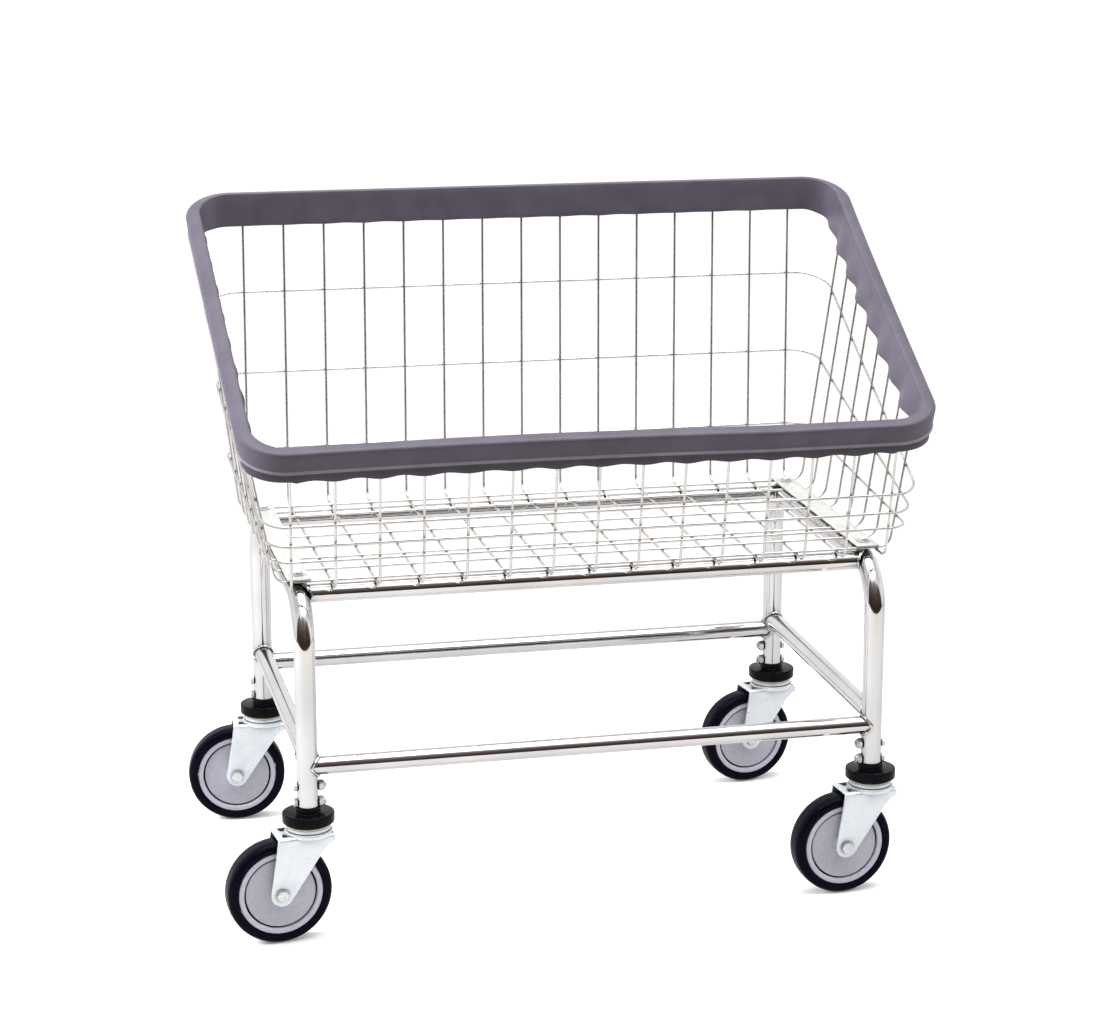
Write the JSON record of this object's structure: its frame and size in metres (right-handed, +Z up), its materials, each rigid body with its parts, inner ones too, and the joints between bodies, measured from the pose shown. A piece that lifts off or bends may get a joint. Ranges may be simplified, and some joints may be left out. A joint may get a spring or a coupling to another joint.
{
  "type": "laundry cart",
  "caption": "Laundry cart: a slanted wire basket with a padded rim, on a chromed tube frame with swivel casters.",
  "frame": {"origin": "middle of the cart's box, on the floor", "axes": "+Z up, +X along the cart to the right when facing its low front side, +Y from the low front side of the basket to its high back side"},
  "size_m": [0.8922, 0.5145, 0.8337],
  "materials": {
    "black_plastic": "glossy black",
    "chrome_tube": "bright chrome plating",
    "chrome_wire": "bright chrome plating",
    "galvanised": "dull galvanised",
    "hub_plastic": "smooth grey plastic",
    "rubber": "smooth dark rubber",
    "vinyl": "satin vinyl",
    "yellow_zinc": "yellowish zinc plating",
    "zinc": "bright zinc plating",
    "zinc_fastener": "bright zinc plating"
  },
  "bodies": {
    "cart": {"left_hoop": "chrome_tube", "left_side_rail": "chrome_tube", "right_hoop": "chrome_tube", "right_side_rail": "chrome_tube", "front_top_rail": "chrome_tube", "front_lower_rail": "chrome_tube", "back_top_rail": "chrome_tube", "back_lower_rail": "chrome_tube", "basket_crosswise_wires": "chrome_wire", "basket_lengthwise_wires": "chrome_wire", "basket_middle_band": "chrome_wire", "basket_lower_band": "chrome_wire", "rim_bumper": "vinyl", "left_hold_down_strip": "galvanised", "front_left_strip_screw": "zinc_fastener", "front_left_lower_leg_bolt": "zinc_fastener", "front_left_upper_leg_bolt": "zinc_fastener", "back_left_strip_screw": "zinc_fastener", "back_left_lower_leg_bolt": "zinc_fastener", "back_left_upper_leg_bolt": "zinc_fastener", "right_hold_down_strip": "galvanised", "front_right_strip_screw": "zinc_fastener", "front_right_lower_leg_bolt": "zinc_fastener", "front_right_upper_leg_bolt": "zinc_fastener", "back_right_strip_screw": "zinc_fastener", "back_right_lower_leg_bolt": "zinc_fastener", "back_right_upper_leg_bolt": "zinc_fastener", "front_left_stem": "zinc", "front_left_bumper_ring": "black_plastic", "front_left_raceway": "yellow_zinc", "front_right_stem": "zinc", "front_right_bumper_ring": "black_plastic", "front_right_raceway": "yellow_zinc", "back_left_stem": "zinc", "back_left_bumper_ring": "black_plastic", "back_left_raceway": "yellow_zinc", "back_right_stem": "zinc", "back_right_bumper_ring": "black_plastic", "back_right_raceway": "yellow_zinc"},
    "front_left_swivel": {"front_left_fork": "zinc", "front_left_axle_bolt": "zinc_fastener", "front_left_axle_sleeve": "zinc"},
    "front_left_wheel": {"front_left_hub": "hub_plastic", "front_left_tyre": "rubber"},
    "front_right_swivel": {"front_right_fork": "zinc", "front_right_axle_bolt": "zinc_fastener", "front_right_axle_sleeve": "zinc"},
    "front_right_wheel": {"front_right_hub": "hub_plastic", "front_right_tyre": "rubber"},
    "back_left_swivel": {"back_left_fork": "zinc", "back_left_axle_bolt": "zinc_fastener", "back_left_axle_sleeve": "zinc"},
    "back_left_wheel": {"back_left_hub": "hub_plastic", "back_left_tyre": "rubber"},
    "back_right_swivel": {"back_right_fork": "zinc", "back_right_axle_bolt": "zinc_fastener", "back_right_axle_sleeve": "zinc"},
    "back_right_wheel": {"back_right_hub": "hub_plastic", "back_right_tyre": "rubber"}
  },
  "joints": [
    {"name": "front_left_swivel_turn", "type": "hinge", "parent": "cart", "child": "front_left_swivel", "pos_m": [-0.34365, -0.20775, 0.14], "axis": [0, 0, 1], "continuous": true},
    {"name": "front_left_wheel_roll", "type": "hinge", "parent": "front_left_swivel", "child": "front_left_wheel", "pos_m": [-0.38186, -0.21156, 0.0635], "axis": [-0.0993, 0.9951, 0], "continuous": true},
    {"name": "front_right_swivel_turn", "type": "hinge", "parent": "cart", "child": "front_right_swivel", "pos_m": [0.35895, -0.20775, 0.14], "axis": [0, 0, 1], "continuous": true},
    {"name": "front_right_wheel_roll", "type": "hinge", "parent": "front_right_swivel", "child": "front_right_wheel", "pos_m": [0.32066, -0.21063, 0.0635], "axis": [-0.075, 0.9972, 0], "continuous": true},
    {"name": "back_left_swivel_turn", "type": "hinge", "parent": "cart", "child": "back_left_swivel", "pos_m": [-0.34365, 0.22225, 0.14], "axis": [0, 0, 1], "continuous": true},
    {"name": "back_left_wheel_roll", "type": "hinge", "parent": "back_left_swivel", "child": "back_left_wheel", "pos_m": [-0.38194, 0.22513, 0.0635], "axis": [0.075, 0.9972, 0], "continuous": true},
    {"name": "back_right_swivel_turn", "type": "hinge", "parent": "cart", "child": "back_right_swivel", "pos_m": [0.35895, 0.22225, 0.14], "axis": [0, 0, 1], "continuous": true},
    {"name": "back_right_wheel_roll", "type": "hinge", "parent": "back_right_swivel", "child": "back_right_wheel", "pos_m": [0.32093, 0.21684, 0.0635], "axis": [-0.1409, 0.99, 0], "continuous": true}
  ]
}
